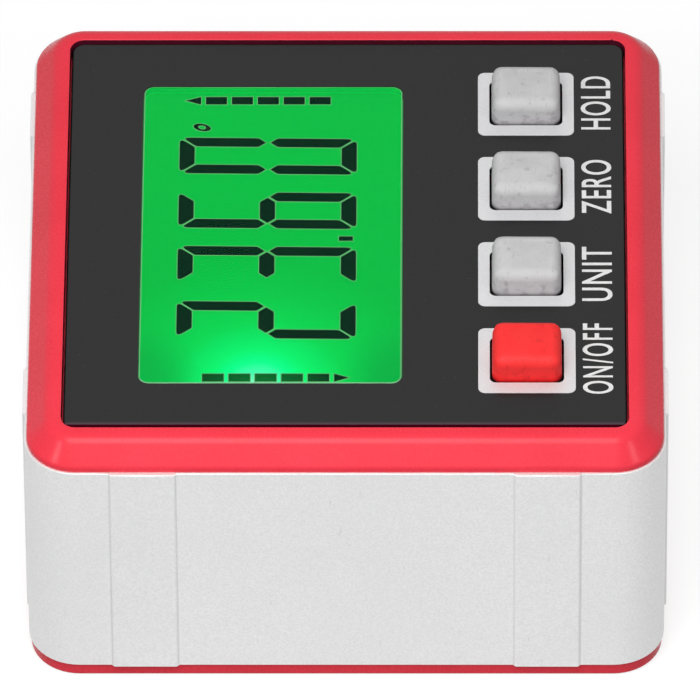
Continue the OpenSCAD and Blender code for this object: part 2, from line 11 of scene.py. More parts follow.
# %% Load the measured frame
import math

import bmesh
import bpy
from mathutils import Matrix, Vector


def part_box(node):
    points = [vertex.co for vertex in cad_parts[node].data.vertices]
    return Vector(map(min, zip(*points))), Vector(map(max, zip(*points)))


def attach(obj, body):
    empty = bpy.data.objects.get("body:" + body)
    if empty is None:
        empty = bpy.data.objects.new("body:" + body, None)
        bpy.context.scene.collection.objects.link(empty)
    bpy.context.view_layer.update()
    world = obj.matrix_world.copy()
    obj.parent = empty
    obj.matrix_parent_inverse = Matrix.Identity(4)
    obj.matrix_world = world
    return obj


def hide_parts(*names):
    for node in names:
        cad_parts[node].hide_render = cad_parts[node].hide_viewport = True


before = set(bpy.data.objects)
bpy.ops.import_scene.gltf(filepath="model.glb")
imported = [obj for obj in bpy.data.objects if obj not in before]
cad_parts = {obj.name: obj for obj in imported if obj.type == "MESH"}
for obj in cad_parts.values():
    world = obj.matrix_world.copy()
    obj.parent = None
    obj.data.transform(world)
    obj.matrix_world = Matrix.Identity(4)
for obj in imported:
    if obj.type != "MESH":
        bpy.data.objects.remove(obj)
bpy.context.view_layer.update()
MM = 0.001


# %% [markdown]
# ## The camera
# The photograph looks down on the box at about 44 degrees through a long lens, so its edges stay
# nearly parallel. A camera could be placed by eye, but here the distance, the angles and the focal
# length come from fitting the corners of the case, and we only turn them into a matrix: its columns
# are the camera's right, up and backward directions.

# %% Camera at the photograph's angle
PHOTO_SIDE = 700
FOCAL_PIXELS = 15792.4
SENSOR = 36
CLIP = 0.05, 20
ELEVATION, AZIMUTH, ROLL = (math.radians(a) for a in (44.078, 0.565, -0.393))
AIM = Vector((0.253, 0.358, 13.41)) * MM
DISTANCE = 1490.15 * MM

backward = Vector((math.sin(AZIMUTH) * math.cos(ELEVATION),
                   -math.cos(AZIMUTH) * math.cos(ELEVATION), math.sin(ELEVATION)))
level_right = Vector((math.cos(AZIMUTH), math.sin(AZIMUTH), 0))
level_up = backward.cross(level_right)
right = level_right * math.cos(ROLL) + level_up * math.sin(ROLL)
upward = level_up * math.cos(ROLL) - level_right * math.sin(ROLL)

camera = bpy.data.objects.new("photo_camera", bpy.data.cameras.new("photo_camera"))
camera.data.sensor_width = SENSOR
camera.data.lens = FOCAL_PIXELS * SENSOR / PHOTO_SIDE
camera.data.clip_start, camera.data.clip_end = CLIP
camera.matrix_world = Matrix((right, upward, backward)).transposed().to_4x4()
camera.matrix_world.translation = AIM + backward * DISTANCE
bpy.context.scene.collection.objects.link(camera)
bpy.context.scene.camera = camera
print("lens, mm:", round(camera.data.lens, 1))

# %% [markdown]
# ## Node helpers
# A material is a small graph. Writing out every node and link by hand hides the idea, so a few helpers
# do the wiring: one adds a node, some give Object coordinates in millimetres, one makes a noise whose
# blotches have a size in millimetres, and the others mix colours and numbers. Object coordinates stay
# with the piece when it moves, so the grain never slides over the surface.

# %% Helpers for material graphs
NOISE_SPAN = 0.3, 0.7


def node(mat, kind, inputs, **settings):
    """Add a node; an input is a plain value or the output of another node."""
    made = mat.node_tree.nodes.new("ShaderNode" + kind)
    for key, value in settings.items():
        setattr(made, key, value)
    for key, value in inputs.items():
        if isinstance(value, bpy.types.NodeSocket):
            mat.node_tree.links.new(value, made.inputs[key])
        else:
            made.inputs[key].default_value = value
    return made


def place(mat, centre=(0, 0, 0), stretch=(1, 1, 1)):
    """Object coordinates in millimetres from a centre, divided by a stretch along each axis."""
    coords = node(mat, "TexCoord", {}).outputs["Object"]
    return node(mat, "Mapping", {
        "Vector": coords,
        "Location": [-c / s for c, s in zip(centre, stretch)],
        "Scale": [1 / MM / s for s in stretch]}).outputs[0]


def grain(mat, size, detail=2, stretch=(1, 1, 1), centre=(0, 0, 0)):
    """Noise with blotches of about this many millimetres, from 0 to 1 around 0.5."""
    return node(mat, "TexNoise", {"Vector": place(mat, centre, stretch), "Scale": 1 / size,
                                  "Detail": detail}).outputs[0]


def ranged(mat, value, start, end, low, high):
    """Map a value from start..end to low..high, and hold it at the ends."""
    return node(mat, "MapRange", {"Value": value, "From Min": start, "From Max": end,
                                  "To Min": low, "To Max": high}).outputs[0]


def swing(mat, noise, low=0, high=1):
    """Map a noise, most of which lies within NOISE_SPAN, to low..high."""
    return ranged(mat, noise, *NOISE_SPAN, low, high)


def mixed(mat, share, first, second):
    """A colour between two colours or colour sockets."""
    pair = [c if isinstance(c, bpy.types.NodeSocket) else (*c, 1) for c in (first, second)]
    return node(mat, "Mix", {0: share, 6: pair[0], 7: pair[1]}, data_type="RGBA").outputs[2]


def sums(mat, operation, first, second=0):
    """One sum on numbers, such as a minimum or an absolute value."""
    return node(mat, "Math", {0: first, 1: second}, operation=operation).outputs[0]


def axes_of(mat, centre=(0, 0, 0)):
    """The x, y and z of a spot, in millimetres from a centre."""
    return node(mat, "SeparateXYZ", {"Vector": place(mat, centre)}).outputs


def across(mat, pick, centre=(0, 0, 0)):
    """The MAXIMUM or the MINIMUM, as picked, of |x| and |y| from a centre."""
    axes = axes_of(mat, centre)
    return sums(mat, pick, *(sums(mat, "ABSOLUTE", axes[k]) for k in (0, 1)))


def ramp(mat, value, stops):
    """A colour that runs through stops of (value, colour)."""
    made = node(mat, "ValToRGB", {"Fac": value})
    points = made.color_ramp.elements
    points.remove(points[1])
    for i, (stop, colour) in enumerate(stops):
        point = points[0] if i == 0 else points.new(stop)
        point.position = stop
        point.color = (*colour, 1)
    return made.outputs[0]


def finish(name, roughness, settings=None):
    """A material on one Principled shader, with its even values on the shader's own sockets."""
    mat = bpy.data.materials.new(name)
    mat.use_nodes = True
    shader = mat.node_tree.nodes["Principled BSDF"]
    shader.inputs["Roughness"].default_value = roughness
    for socket, value in (settings or {}).items():
        shader.inputs[socket].default_value = value
    return mat, shader


def feed(mat, shader, **sockets):
    """Link outputs to the shader's sockets."""
    names = {"colour": "Base Color", "roughness": "Roughness", "bump": "Normal",
             "glow": "Emission Color"}
    for key, output in sockets.items():
        mat.node_tree.links.new(output, shader.inputs[names[key]])


def relief(mat, height, depth):
    """Bump from a height of 0 to 1 that stands for this many millimetres."""
    return node(mat, "Bump", {"Height": height, "Distance": depth * MM}).outputs[0]


print("helpers ready")

# %% [markdown]
# ## Floor and light
# The photograph is a studio picture on white. A plain floor catches a soft shadow, and the world is
# white wherever the camera, a reflection or a clear part looks at it, but gives only a mild even light
# to the surfaces. The floor glows for the same rays, so that it looks white too. It stays dark under
# the back of the box, where its glow would shine up through the slot of the battery door, and it lies
# a hair's breadth below the box, because two faces in one place flicker.
#
# One soft lamp hangs close by, in front and a little to the left, so that the face and the near edges
# are brighter than the sides and the far edge. Two small lamps at the sides put the pale streaks on the
# bezel's front corners, and a weak one hangs above. The lamps hide from the camera, so that they never
# stand in a picture taken from another side.

# %% Floor, world and lamps
AMBIENT = 0.2
FLOOR_LIFT = 0.78
FLOOR_GREY = (0.3, 0.3, 0.3, 1)
FLOOR_GAP, FLOOR_HALF = 0.05, 2
DARK_INSET, OPEN_INSET = 0.9, 0.4
LAMPS = (("front_lamp", (-0.03, -0.15, 0.27), 0.17, 0.65),
         ("left_lamp", (-0.56, -0.47, 0.5), 0.05, 0.85),
         ("right_lamp", (0.56, -0.47, 0.5), 0.05, 0.65),
         ("top_lamp", (0, -0.1, 0.9), 0.6, 0.3))


def seen_directly(mat):
    """1 for rays from the camera, from a reflection or through a clear part, 0 for diffuse light."""
    path = node(mat, "LightPath", {}).outputs
    either = sums(mat, "MAXIMUM", path["Is Camera Ray"], path["Is Glossy Ray"])
    return sums(mat, "MAXIMUM", either, path["Is Transmission Ray"])


world = bpy.data.worlds.new("white_studio")
bpy.context.scene.world = world
world.use_nodes = True
background = world.node_tree.nodes["Background"]
background.inputs["Color"].default_value = (1, 1, 1, 1)
strength = ranged(world, seen_directly(world), 0, 1, AMBIENT, 1)
world.node_tree.links.new(strength, background.inputs["Strength"])

floor_paint, floor_shader = finish("floor_paint", 0.9, {
    "Base Color": FLOOR_GREY, "Specular IOR Level": 0, "Emission Color": (1, 1, 1, 1)})
dark_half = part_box("back_cover")[1].y / MM / 2
away = across(floor_paint, "MAXIMUM", (0, dark_half, 0))
open_floor = ranged(floor_paint, away, dark_half - DARK_INSET, dark_half - OPEN_INSET, 0, FLOOR_LIFT)
floor_glow = sums(floor_paint, "MULTIPLY", seen_directly(floor_paint), open_floor)
floor_paint.node_tree.links.new(floor_glow, floor_shader.inputs["Emission Strength"])
floor_mesh = bpy.data.meshes.new("floor")
bm = bmesh.new()
bmesh.ops.create_grid(bm, x_segments=1, y_segments=1, size=FLOOR_HALF)
bm.to_mesh(floor_mesh)
bm.free()
floor = bpy.data.objects.new("floor", floor_mesh)
floor.data.materials.append(floor_paint)
floor.location.z = -FLOOR_GAP * MM
bpy.context.scene.collection.objects.link(floor)


def soft_lamp(name, spot, side, watts):
    """A square lamp at a spot in metres, that faces the middle of the box."""
    light = bpy.data.lights.new(name, "AREA")
    light.shape = "SQUARE"
    light.size = side
    light.energy = watts
    lamp = bpy.data.objects.new(name, light)
    lamp.location = spot
    lamp.rotation_euler = (Vector(spot) - AIM).to_track_quat("Z", "Y").to_euler()
    lamp.visible_camera = False
    bpy.context.scene.collection.objects.link(lamp)


for lamp_row in LAMPS:
    soft_lamp(*lamp_row)
bpy.context.scene.view_settings.view_transform = "Standard"

# %% [markdown]
# ## Copies of CAD pieces with softened edges
# A CAD solid has edges without any radius, and such edges look like paper in a render because they
# catch no light. We could model each moulding again, but the outline is already exact, so a copy of the
# CAD mesh does better: merge its loose triangles, dissolve the flat areas to whole faces, and bevel
# only the edges that a finger would touch. Weighted normals then keep the large faces flat. A piece
# whose shape is right as it is keeps its CAD node, and only gets a finish.

# %% Helpers for pieces
MERGE, TOUCH = 0.001, 0.01
FLAT, SMOOTH = math.radians(0.5), math.radians(35)


def merged_copy(name):
    """A CAD node's mesh with its triangles joined and its flat areas made whole faces."""
    bm = bmesh.new()
    bm.from_mesh(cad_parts[name].data)
    bmesh.ops.remove_doubles(bm, verts=bm.verts, dist=MERGE * MM)
    bmesh.ops.dissolve_limit(bm, angle_limit=FLAT, verts=bm.verts, edges=bm.edges)
    return bm


def sharp_edges(bm, wanted, least=30):
    """Edges that turn by more than the least angle and whose middle, in mm, is wanted."""
    found = []
    for edge in bm.edges:
        middle = (edge.verts[0].co + edge.verts[1].co) / 2 / MM
        if edge.is_manifold and edge.calc_face_angle() > math.radians(least) and wanted(middle):
            found.append(edge)
    return found


def level(z):
    """A test for places at this height in mm."""
    return lambda p: abs(p.z - z) < TOUCH


def soften(bm, edges, width, segments=3):
    """Round these edges over this many millimetres."""
    bmesh.ops.bevel(bm, geom=edges, offset=width * MM, offset_type="OFFSET", affect="EDGES",
                    segments=segments, profile=0.5, material=-1)


def make_piece(name, bm, mats, body, stands_for=()):
    """Turn a bmesh into a shaded object that rides on a body."""
    for face in bm.faces:
        face.smooth = True
    for edge in bm.edges:
        edge.smooth = edge.is_manifold and edge.calc_face_angle() < SMOOTH
    mesh = bpy.data.meshes.new(name)
    bm.to_mesh(mesh)
    bm.free()
    for mat in mats:
        mesh.materials.append(mat)
    piece = bpy.data.objects.new(name, mesh)
    bpy.context.scene.collection.objects.link(piece)
    even = piece.modifiers.new("flat_faces", "WEIGHTED_NORMAL")
    even.keep_sharp = True
    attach(piece, body)
    if stands_for:
        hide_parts(*stands_for)
    print(name, "faces:", len(mesh.polygons))


def dress(name, mat):
    """Give a CAD node that keeps its shape a finish."""
    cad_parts[name].material_slots[0].material = mat


print("piece helpers ready")

# %% [markdown]
# ## The aluminium tube
# The body is a length of extruded tube, sawn off, blasted with fine grit and clear anodised. The grit
# leaves a soft grain of about a fifth of a millimetre, and handling leaves a few short hairlines. A thin
# painted shade darkens the feet of the raised lands, where the steps shade the face. A picture texture
# could show that, but noises do it at any distance: one for the grain, one stretched into hairlines,
# and a broad one that keeps the large side from looking even. The painted shade needs no noise: on
# every side, the smaller of |x| and |y| is the place along that side.

# %% Blasted aluminium
LAND_AT, LAND_FOOT = 18.75, 3.08
LAND_SHADE_W, LAND_SHADE_SHARE = 0.11, 0.42

aluminium, shader = finish("blasted_aluminium", 0.45, {"Metallic": 0.5})
fine = grain(aluminium, 0.22, 3)
broad = grain(aluminium, 9, 2)
hair = grain(aluminium, 0.5, 1, (0.6, 0.6, 3), (3, 1, 0))
along = across(aluminium, "MINIMUM")
from_land = sums(aluminium, "ABSOLUTE", sums(aluminium, "SUBTRACT", along, LAND_AT))
from_foot = sums(aluminium, "ABSOLUTE", sums(aluminium, "SUBTRACT", from_land, LAND_FOOT))
# painted shade: a thin dark line along the foot of each land, where the step shades the face
land_shade = ranged(aluminium, from_foot, 0, LAND_SHADE_W, LAND_SHADE_SHARE, 0)
colour = mixed(aluminium, swing(aluminium, fine), (0.77, 0.77, 0.77), (0.89, 0.89, 0.89))
colour = mixed(aluminium, ranged(aluminium, broad, 0.35, 0.65, 0, 0.2), colour, (0.77, 0.77, 0.78))
colour = mixed(aluminium, ranged(aluminium, hair, 0.74, 0.8, 0, 0.25), colour, (0.5, 0.5, 0.5))
# the painted shade at the land feet darkens the colour here
colour = mixed(aluminium, land_shade, colour, (0.45, 0.45, 0.46))
feed(aluminium, shader, colour=colour, roughness=swing(aluminium, fine, 0.38, 0.52),
     bump=relief(aluminium, fine, 0.006))

# %% Tube with broken edges
SAWN_EDGE = 0.07
OUTER_SKIN, CORNER_SHARE = 1, 1.7
tube_lo, tube_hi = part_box("body_tube")
half_side = tube_hi.x / MM
ends = (tube_lo.z / MM, tube_hi.z / MM)


def sawn_edge(p):
    """True on the outer edges of the tube's two sawn ends, corners included."""
    x, y = abs(p.x), abs(p.y)
    outside = max(x, y) > half_side - OUTER_SKIN or x + y > CORNER_SHARE * half_side
    return outside and any(level(z)(p) for z in ends)


bm = merged_copy("body_tube")
soften(bm, sharp_edges(bm, sawn_edge), SAWN_EDGE)
make_piece("tube_shell", bm, [aluminium], "case", ["body_tube"])

# %% [markdown]
# ## The red mouldings
# Bezel, back cover and battery door come from one red plastic, with the satin skin that a lightly
# etched mould leaves. The colour is nearly even, and only a broad noise lets it wander a little. The
# life comes from a fine noise, which breaks up the highlight in the roughness and as a slight bump. The
# walls of the key openings and of the panel's recess get a painted shade, a darker red of their own,
# because hardly any light reaches them on the real bezel.

# %% Red satin plastic
red_plastic, shader = finish("red_satin_plastic", 0.27, {"Specular IOR Level": 0.15})
fine = grain(red_plastic, 0.16, 2)
broad = grain(red_plastic, 7, 2)
colour = mixed(red_plastic, swing(red_plastic, broad), (0.86, 0.039, 0.065), (0.91, 0.045, 0.074))
feed(red_plastic, shader, colour=colour, roughness=swing(red_plastic, fine, 0.24, 0.3),
     bump=relief(red_plastic, fine, 0.0008))
# painted shade: a dark red for the walls of the key openings and the panel's recess
well_red, shader = finish("shaded_red_plastic", 0.6, {"Specular IOR Level": 0})
feed(well_red, shader, colour=mixed(well_red, grain(well_red, 0.5),
                                    (0.07, 0.005, 0.016), (0.095, 0.007, 0.02)))
print("red finishes:", red_plastic.name, well_red.name)

# %% Bezel, back cover and battery door
RIM_EDGE, FOOT_EDGE = 0.14, 0.1
SEAM_EDGE, SEAM_REACH = 0.06, 28
UPRIGHT = 0.5
KEY_BOXES = [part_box(name) for name in ("hold_key", "zero_key", "unit_key", "power_key")]
panel_lo, panel_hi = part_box("front_panel")
rim_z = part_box("front_bezel")[1].z / MM
door_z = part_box("battery_door")[0].z / MM
seat_z = ends[1]


def in_a_well(face):
    """True for the walls of the key openings and of the panel's recess."""
    spot = face.calc_center_median()
    by_a_key = any(lo.x < spot.x < hi.x and lo.y < spot.y < hi.y for lo, hi in KEY_BOXES)
    in_recess = spot.z > panel_lo.z and spot.xy.dot(face.normal.xy) < 0
    return abs(face.normal.z) < UPRIGHT and (by_a_key or in_recess)


def seam(z):
    """A test for the outer edges at the height where a moulding meets the tube."""
    return lambda p: level(z)(p) and max(abs(p.x), abs(p.y)) > SEAM_REACH


bm = merged_copy("front_bezel")
# the walls of the wells take the painted shade
for face in bm.faces:
    if in_a_well(face):
        face.material_index = 1
soften(bm, sharp_edges(bm, level(rim_z)), RIM_EDGE)
soften(bm, sharp_edges(bm, seam(seat_z)), SEAM_EDGE, 2)
make_piece("bezel_shell", bm, [red_plastic, well_red], "case", ["front_bezel"])

bm = merged_copy("back_cover")
soften(bm, sharp_edges(bm, level(0)), FOOT_EDGE)
soften(bm, sharp_edges(bm, seam(ends[0])), SEAM_EDGE, 2)
make_piece("back_shell", bm, [red_plastic], "case", ["back_cover"])

bm = merged_copy("battery_door")
soften(bm, sharp_edges(bm, level(door_z)), FOOT_EDGE)
make_piece("door_shell", bm, [red_plastic], "battery_door", ["battery_door"])

# %% [markdown]
# ## The front panel
# The panel is a sheet of black acrylic, polished, with a small rounded edge that picks up the red of
# the bezel. Black gloss shows mostly what it mirrors, so its material is dark with a slightly uneven
# roughness, like a surface that has been wiped, and a few faint specks of dust. Painted shade along its
# front edge stands for the dark gap by the bezel, and a paler purple line behind it is a painted
# reflection of the red rim. The shade mirrors nothing, so a cut gives it faces of its own with another
# material, while the reflection is only a colour.

# %% Black acrylic, painted gap shade and painted reflection
GAP_SHADE_W = 0.5
RIM_GLINT_W, RIM_GLINT_FADE = 0.85, 0.15
panel_half = panel_hi.x / MM
panel_black, shader = finish("black_acrylic", 0.25, {"Specular IOR Level": 0.26})
wiped = grain(panel_black, 6, 3, (1, 2.5, 1))
dust = grain(panel_black, 0.3, 1, (1, 1, 1), (2, 9, 0))
colour = mixed(panel_black, ranged(panel_black, dust, 0.76, 0.8, 0, 0.12),
               (0.009, 0.009, 0.009), (0.2, 0.2, 0.2))
from_edge = axes_of(panel_black, (0, -panel_half, 0))[1]
# painted reflection: a purple line near the front edge stands for the red rim mirrored in the panel
rim_glint = ranged(panel_black, from_edge, RIM_GLINT_W - RIM_GLINT_FADE, RIM_GLINT_W, 1, 0)
feed(panel_black, shader, colour=mixed(panel_black, rim_glint, colour, (0.055, 0.03, 0.042)),
     roughness=swing(panel_black, wiped, 0.2, 0.32))
# painted shade: a dark maroon strip along the front edge stands for the shadow in the gap by the bezel
gap_shade, shader = finish("painted_gap_shade", 0.6, {"Specular IOR Level": 0})
feed(gap_shade, shader, colour=mixed(gap_shade, grain(gap_shade, 0.5), (0.04, 0.001, 0.005), (0.05, 0.001, 0.007)))
print("panel finishes:", panel_black.name, gap_shade.name)

# %% [markdown]
# The keys stand back a little in their openings. So the front edge of each opening moves towards its
# key, in the panel and later in the silver borders.

# %% Panel sheet
PANEL_EDGE, CORNER_REACH = 0.22, 1.2
OPENING_TRIM = 0.17
face_z = panel_hi.z / MM


def fit_openings(bm):
    """Bring the front edge of each key opening nearer to its key."""
    for lo, hi in KEY_BOXES:
        middle = (lo + hi) / 2
        for v in bm.verts:
            if lo.x < v.co.x < hi.x and lo.y < v.co.y < middle.y:
                v.co.y += OPENING_TRIM * MM


def panel_rim(p):
    """True on the upper edges of the panel's outline, corners included."""
    x, y = abs(p.x), abs(p.y)
    outside = max(x, y) > panel_half - TOUCH or min(x, y) > panel_half - CORNER_REACH
    return outside and level(face_z)(p)


bm = merged_copy("front_panel")
fit_openings(bm)
soften(bm, sharp_edges(bm, panel_rim), PANEL_EDGE)
# a cut near the front edge gives the painted shade strip faces of its own
gap_shade_y = (GAP_SHADE_W - panel_half) * MM
bmesh.ops.bisect_plane(bm, geom=[*bm.verts, *bm.edges, *bm.faces],
                       plane_co=(0, gap_shade_y, 0), plane_no=(0, 1, 0))
for face in bm.faces:
    if face.calc_center_median().y < gap_shade_y:
        face.material_index = 1
make_piece("panel_sheet", bm, [panel_black, gap_shade], "case", ["front_panel"])

# %% [markdown]
# ## The lens
# A clear acrylic window lies in the panel, flush with its face. It is a true solid, so that the display
# below it is seen through a refracting block, as on the real gauge. Such windows are coated so that
# they mirror less of the room, which a lower refractive index than plain acrylic stands for. The block
# is bonded to the display's glass, so its underside sinks a hair's breadth into it: two faces in one
# place would confuse a ray tracer, and a gap of air would mirror the room a second time. Its upper edge
# is bevelled, and the bevel has a finish of its own, a pale green painted highlight along the outline.

# %% Clear lens
BOND_DEPTH, LENS_EDGE = 0.03, 0.1
EDGE_TILT = 0.1, 0.95
lens_clear, shader = finish("clear_acrylic", 0.03, {
    "Base Color": (1, 1, 1, 1), "Transmission Weight": 1, "IOR": 1.3, "Specular Tint": (0, 0, 0, 1)})
smudge = grain(lens_clear, 5, 2)
feed(lens_clear, shader, roughness=ranged(lens_clear, smudge, 0.4, 0.7, 0.0, 0.05))
# painted highlight: the bevel's pale green stands for the display's light glinting on the window's edge
lens_glint, shader = finish("painted_lens_glint", 0.4, {"Base Color": (0.2, 0.48, 0.25, 1)})

lens_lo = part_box("display_lens")[0]
bm = merged_copy("display_lens")
underside = [v for v in bm.verts if v.co.z < lens_lo.z + TOUCH * MM]
bmesh.ops.translate(bm, verts=underside, vec=(0, 0, -BOND_DEPTH * MM))
soften(bm, sharp_edges(bm, level(face_z)), LENS_EDGE, 2)
bm.normal_update()
# the tilted bevel faces take the painted highlight
for face in bm.faces:
    if EDGE_TILT[0] < face.normal.z < EDGE_TILT[1]:
        face.material_index = 1
make_piece("lens_block", bm, [lens_clear, lens_glint], "case", ["display_lens"])

# %% [markdown]
# ## The lit display
# A lamp at one edge of the light guide makes the green display brightest there, and the light fades
# with the distance from it. The glass node keeps its shape, and its material glows: a spherical gradient
# measures how near the lamp is, and a colour ramp turns that into greens, nearly white at the lamp. The
# two corners beside the lamp lie outside its beam, so two more gradients darken them.

# %% Glowing display glass
LAMP_SPOT = (-8.1, -19.9, 0)
LAMP_REACH = (16, 17)
GREENS = ((0, (0, 0.505, 0.053)), (0.27, (0, 0.575, 0.064)), (0.5, (0, 0.68, 0.085)),
          (0.7, (0, 0.9, 0.16)), (0.8, (0, 1, 0.28)), (0.89, (0.06, 1, 0.45)), (1, (0.35, 0.95, 0.62)))
SHADE_SPOTS = ((-19.1, -20, 0), (5.1, -20, 0))
SHADE_REACH = (6, 9)
SHADE_FULL, SHADE_SHARE = 0.6, 0.6
ANY_HEIGHT = 1000
DEEP_GREEN = (0, 0.37, 0.05)


def falloff(mat, centre, reach):
    """1 at the centre and 0 at the edge of an ellipse, in the plane of the display."""
    return node(mat, "TexGradient", {"Vector": place(mat, centre, (*reach, ANY_HEIGHT))},
                gradient_type="SPHERICAL").outputs[1]


display, shader = finish("lit_display", 0.3, {
    "Base Color": (0, 0, 0, 1), "Specular IOR Level": 0, "Emission Strength": 1})
lit = ramp(display, falloff(display, LAMP_SPOT, LAMP_REACH), GREENS)
shade = sums(display, "MAXIMUM", *(falloff(display, spot, SHADE_REACH) for spot in SHADE_SPOTS))
dim = ranged(display, shade, 0, SHADE_FULL, 0, SHADE_SHARE)
feed(display, shader, glow=mixed(display, dim, lit, DEEP_GREEN))
dress("display_glass", display)

# %% [markdown]
# ## The display's segments
# Each figure is made of up to seven bars with mitred ends, with a hairline of paler green between them.
# A bar starts as one rectangle; bevelling single corners cuts the mitres and points, and a bevel in
# steps rounds what is left too sharp. Upright and level bars differ in width, so the cuts are made in a
# space where both widths are 1, and the bar is scaled to size afterwards. An inset then splits off the
# pale outline, which gets a material of its own, and a short extrusion makes it a thin film on the
# glass. Writing runs along +Y, with the tops of the figures towards -X and leaning a little forward.

# %% Ink of the segments
INK_GLOW_REACH = (8, 5)
ink, shader = finish("segment_ink", 0.5, {"Specular IOR Level": 0, "Emission Strength": 1})
near_lamp = falloff(ink, LAMP_SPOT, INK_GLOW_REACH)
feed(ink, shader, colour=mixed(ink, grain(ink, 0.6), (0.0, 0.009, 0.003), (0.0, 0.014, 0.005)),
     glow=mixed(ink, near_lamp, (0, 0.006, 0.002), (0, 0.17, 0.02)))
rim_light, shader = finish("segment_outline", 0.5, {
    "Specular IOR Level": 0, "Emission Strength": 1, "Base Color": (0, 0, 0, 1)})
feed(rim_light, shader, glow=mixed(rim_light, grain(rim_light, 2),
                                   (0.12, 0.46, 0.16), (0.16, 0.52, 0.2)))
print("segment finishes:", ink.name, rim_light.name)

# %% Segments of the display
FIGURE_H, FIGURE_W = 16.85, 5.02
BAR_A, BAR_B = 1.57, 1.34
TIP, TIP_STEPS = 0.6, 5
TOO_SHARP = math.radians(100)
SLANT = 0.0137
JOINT, MIDDLE_JOINT = 0.06, 0.1
OUTLINE = 0.07
FILM = 0.02
FILM_LIFT = 0.005
SEEN_SHIFT = 0.6
FIGURE_X = -7.44
FIGURES = ((-11.53, "abged"), (-4.08, "abgcd"), (3.3, "afgecd"), (10.71, "abcdef"))
POINT_SPOT, POINT_SIZE = (-0.06, -0.54), (1.44, 0.74)
BARS_IN_ROW, BAR_PITCH = 5, 2.45
SMALL_BAR = (2.13, 1.17)
RIGHT_ROW, LEFT_ROW = 18.33, -19.23

segments = bmesh.new()


def shear(slant):
    """A matrix that leans a flat shape along its writing."""
    return Matrix(((1, 0, 0), (-slant, 1, 0), (0, 0, 1))).to_4x4()


def make_film(bm, height):
    """Extrude a flat shape to a closed film of this height in millimetres."""
    film = bmesh.ops.extrude_face_region(bm, geom=list(bm.faces))["geom"]
    raised = [g for g in film if isinstance(g, bmesh.types.BMVert)]
    bmesh.ops.translate(bm, verts=raised, vec=(0, 0, height * MM))
    bmesh.ops.recalc_face_normals(bm, faces=bm.faces)


def lay(bm, middle, slant=0):
    """Move one finished shape to (x, y), split off its pale outline and add it to the display."""
    bmesh.ops.translate(bm, verts=bm.verts, vec=(middle[0] * MM, (middle[1] + SEEN_SHIFT) * MM, 0))
    bmesh.ops.transform(bm, verts=bm.verts, matrix=shear(slant),
                        space=Matrix.Translation((-FIGURE_X * MM, 0, 0)))
    rims = bmesh.ops.inset_region(bm, faces=bm.faces, thickness=OUTLINE * MM, use_boundary=True,
                                  use_even_offset=True)["faces"]
    for face in rims:
        face.material_index = 1
    make_film(bm, FILM)
    scratch = bpy.data.meshes.new("scratch")
    bm.to_mesh(scratch)
    bm.free()
    segments.from_mesh(scratch)
    bpy.data.meshes.remove(scratch)


def cut(bm, corners, width, steps=1):
    """Bevel corners of a flat shape."""
    bmesh.ops.bevel(bm, geom=corners, offset=width, offset_type="OFFSET", affect="VERTICES",
                    segments=steps, profile=0.5, material=-1)


def bar(middle, size, cuts=None, slant=0):
    """A flat bar at (x, y) of size (along x, along y).

    The cuts name corners by their signs, and say how wide each is bevelled.
    """
    bm = bmesh.new()
    corners = bmesh.ops.create_grid(bm, x_segments=1, y_segments=1, size=0.5)["verts"]
    bmesh.ops.scale(bm, verts=corners, vec=(size[0] / BAR_A, size[1] / BAR_B, 1))
    for signs, width in (cuts or {}).items():
        cut(bm, [v for v in corners if v.is_valid and (v.co.x > 0, v.co.y > 0) == signs][:1], width)
    bmesh.ops.remove_doubles(bm, verts=bm.verts, dist=MERGE)
    cut(bm, [v for v in bm.verts if v.calc_edge_angle(0) > TOO_SHARP], TIP, TIP_STEPS)
    bmesh.ops.scale(bm, verts=bm.verts, vec=(BAR_A * MM, BAR_B * MM, 1))
    lay(bm, middle, slant)


def figure(y, lit):
    """One figure of the display: letters a to g name its lit bars as on any such display."""
    half_h, half_w = FIGURE_H / 2, FIGURE_W / 2
    long_bar = half_h - JOINT - MIDDLE_JOINT
    long_at = MIDDLE_JOINT + long_bar / 2
    for name in lit:
        if name in "ad":
            side = -1 if name == "a" else 1
            inner = side < 0
            spot, size = (side * (half_h - BAR_A / 2), 0), (BAR_A, FIGURE_W)
            cuts = {(inner, False): 1, (inner, True): 1}
        elif name == "g":
            spot, size = (0, 0), (BAR_A, FIGURE_W - BAR_B - JOINT)
            cuts = {(a, b): 0.5 for a in (False, True) for b in (False, True)}
        else:
            up = -1 if name in "bf" else 1
            out = 1 if name in "bc" else -1
            far, outer = up > 0, out > 0
            spot, size = (up * long_at, out * (half_w - BAR_B / 2)), (long_bar, BAR_B)
            cuts = {(far, not outer): 1, (not far, False): 0.5, (not far, True): 0.5}
        bar((FIGURE_X + spot[0], y + spot[1]), size, cuts, SLANT)


for y, lit in FIGURES:
    figure(y, lit)
bar(POINT_SPOT, POINT_SIZE)
for row_y, first in ((RIGHT_ROW, -12.39), (LEFT_ROW, -12.31)):
    for i in range(BARS_IN_ROW):
        bar((first + i * BAR_PITCH, row_y), SMALL_BAR)
print("bars:", len(segments.faces))

# %% [markdown]
# The two rows of small bars end in arrowheads, and a small ring, leaning forward, marks the degrees. A
# circle of three corners is a triangle, and an inset circle is a ring, so both start from the same
# operator.

# %% Arrowheads and degree ring
HEAD_H = 1.27
RING_SPOT, RING_SIZE = (-13.7, 14.65), (1.78, 1.15)
RING_CORNERS, RING_WALL, RING_LEAN = 24, 0.33, 0.19
glass_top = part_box("display_glass")[1].z / MM


